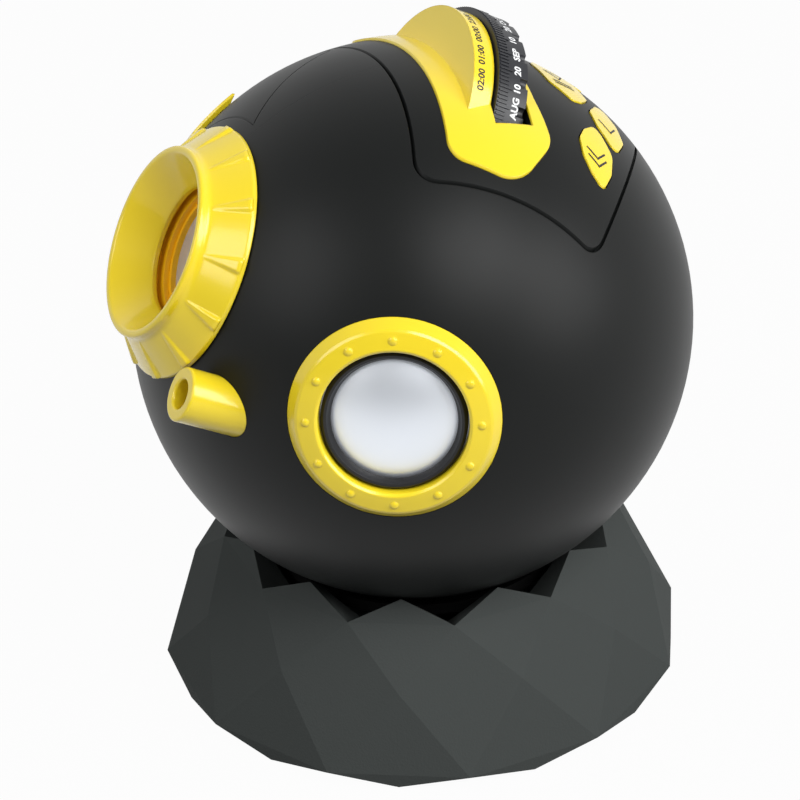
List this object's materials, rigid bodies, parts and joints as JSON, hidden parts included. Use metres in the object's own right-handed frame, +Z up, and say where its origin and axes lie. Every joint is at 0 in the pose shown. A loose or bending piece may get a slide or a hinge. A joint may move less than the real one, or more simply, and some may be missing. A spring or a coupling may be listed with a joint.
{
  "type": "planetarium projector",
  "caption": "Home planetarium: black ball with focus ring, date dial, speakers and buttons, resting in a faceted swivel base.",
  "frame": {"origin": "centre of the non-slip pad under the base, on the floor", "axes": "+Z up along the base's middle axis, lens toward -Y and 28.8 degrees up, +X to the right-hand speaker as seen by someone standing behind the lens"},
  "size_m": [0.1636, 0.1674, 0.2015],
  "materials": {
    "ball_black": "satin",
    "base_plastic": "matte",
    "yellow_plastic": "gloss",
    "dial_black": "satin",
    "dome_silver": "satin",
    "soft_rubber": "matte",
    "lens_glass": "gloss",
    "white_plastic": "satin",
    "inner_plastic": "matte",
    "board_green": "satin",
    "steel": "satin",
    "ballast_iron": "matte",
    "heatsink_aluminium": "satin",
    "contact_brass": "satin"
  },
  "bodies": {
    "base": {"base_shell": "base_plastic", "base_plate": "base_plastic", "base_pad": "soft_rubber", "base_ballast": "ballast_iron", "base_screws": "steel"},
    "cradle": {"cradle_cup": "base_plastic", "cradle_pads": "soft_rubber", "cradle_retainer": "steel"},
    "ball": {"left_shell": "ball_black", "right_shell": "ball_black", "top_panel": "ball_black", "dial_housing": "yellow_plastic", "lens_barrel": "yellow_plastic", "barrel_screws": "steel", "meteor_tube": "yellow_plastic", "meteor_lamp": "white_plastic", "gear_frame": "inner_plastic", "frame_screws": "steel", "date_axle": "steel", "motor": "steel", "drawer_rails": "inner_plastic", "condenser_holder": "inner_plastic", "condenser_lens": "lens_glass", "lamp_board": "board_green", "lamp_heatsink": "heatsink_aluminium", "key_board": "board_green", "key_switches": "inner_plastic", "main_board": "board_green", "battery_box": "inner_plastic", "battery_cells": "steel", "battery_contacts": "contact_brass", "battery_door": "ball_black", "door_screw": "steel", "aux_jack": "inner_plastic", "power_jack": "inner_plastic", "left_speaker_bezel": "yellow_plastic", "left_speaker_surround": "soft_rubber", "left_speaker_dome": "dome_silver", "left_speaker_driver": "steel", "right_speaker_bezel": "yellow_plastic", "right_speaker_surround": "soft_rubber", "right_speaker_dome": "dome_silver", "right_speaker_driver": "steel"},
    "focus_ring_body": {"focus_ring": "yellow_plastic"},
    "lens_cell_body": {"lens_cell": "yellow_plastic", "front_lens": "lens_glass", "rear_lens": "lens_glass", "lens_retainer": "white_plastic"},
    "date_wheel_body": {"date_wheel": "dial_black"},
    "idler_body": {"idler_gear": "white_plastic"},
    "sky_ring_body": {"sky_ring": "white_plastic"},
    "motor_pinion_body": {"motor_pinion": "white_plastic"},
    "drawer_body": {"disc_drawer": "ball_black", "drawer_grip": "yellow_plastic"},
    "star_disc_body": {"star_disc": "dial_black"},
    "play_button_body": {"play_button": "yellow_plastic"},
    "speed_right_button_body": {"speed_right_button": "yellow_plastic"},
    "speed_left_button_body": {"speed_left_button": "yellow_plastic"},
    "volume_right_button_body": {"volume_right_button": "yellow_plastic"},
    "volume_left_button_body": {"volume_left_button": "yellow_plastic"}
  },
  "joints": [
    {"name": "swivel", "type": "hinge", "parent": "base", "child": "cradle", "pos_m": [0, 0, 0.02], "axis": [0, 0, 1], "continuous": true},
    {"name": "tilt", "type": "hinge", "parent": "cradle", "child": "ball", "pos_m": [0, 0, 0.1103], "axis": [-1, 0, 0], "range_deg": [-28.8, 61.2]},
    {"name": "focus_turn", "type": "hinge", "parent": "ball", "child": "focus_ring_body", "pos_m": [0, -0.06134, 0.14402], "axis": [0, -0.8761, 0.4821], "range_deg": [-96, 24]},
    {"name": "lens_travel", "type": "slide", "parent": "ball", "child": "lens_cell_body", "axis": [0, -0.8761, 0.4821], "range_m": [-0.004, 0.001]},
    {"name": "date_turn", "type": "hinge", "parent": "ball", "child": "date_wheel_body", "pos_m": [0, 0.01042, 0.17076], "axis": [0, -0.8761, 0.4821], "continuous": true},
    {"name": "idler_turn", "type": "hinge", "parent": "ball", "child": "idler_body", "pos_m": [0, -0.02108, 0.15498], "axis": [0, -0.8761, 0.4821], "continuous": true},
    {"name": "sky_turn", "type": "hinge", "parent": "ball", "child": "sky_ring_body", "pos_m": [0, -0.04381, 0.13439], "axis": [0, -0.8761, 0.4821], "continuous": true},
    {"name": "motor_turn", "type": "hinge", "parent": "ball", "child": "motor_pinion_body", "pos_m": [0.02511, -0.0473, 0.11975], "axis": [0, -0.8761, 0.4821], "continuous": true},
    {"name": "drawer_slide", "type": "slide", "parent": "ball", "child": "drawer_body", "axis": [-0.7661, 0.31, 0.563], "range_m": [0, 0.075]},
    {"name": "disc_turn", "type": "hinge", "parent": "drawer_body", "child": "star_disc_body", "pos_m": [0, -0.04644, 0.13583], "axis": [0, -0.8761, 0.4821], "continuous": true},
    {"name": "play_press", "type": "slide", "parent": "ball", "child": "play_button_body", "axis": [0, -0.4821, -0.8761], "range_m": [0, 0.001], "stiffness_N_per_m": 900, "springref_m": -0.0008},
    {"name": "speed_right_press", "type": "slide", "parent": "ball", "child": "speed_right_button_body", "axis": [0, -0.4821, -0.8761], "range_m": [0, 0.001], "stiffness_N_per_m": 900, "springref_m": -0.0008},
    {"name": "speed_left_press", "type": "slide", "parent": "ball", "child": "speed_left_button_body", "axis": [0, -0.4821, -0.8761], "range_m": [0, 0.001], "stiffness_N_per_m": 900, "springref_m": -0.0008},
    {"name": "volume_right_press", "type": "slide", "parent": "ball", "child": "volume_right_button_body", "axis": [0, -0.4821, -0.8761], "range_m": [0, 0.001], "stiffness_N_per_m": 900, "springref_m": -0.0008},
    {"name": "volume_left_press", "type": "slide", "parent": "ball", "child": "volume_left_button_body", "axis": [0, -0.4821, -0.8761], "range_m": [0, 0.001], "stiffness_N_per_m": 900, "springref_m": -0.0008}
  ],
  "couplings": [
    {"joint": "lens_travel", "follows": "focus_turn", "m_per_rad": 0.002387},
    {"joint": "idler_turn", "follows": "date_turn", "ratio": -3.8333},
    {"joint": "sky_turn", "follows": "date_turn", "ratio": 1},
    {"joint": "motor_turn", "follows": "date_turn", "ratio": -3.8333},
    {"joint": "disc_turn", "follows": "date_turn", "ratio": 1}
  ]
}
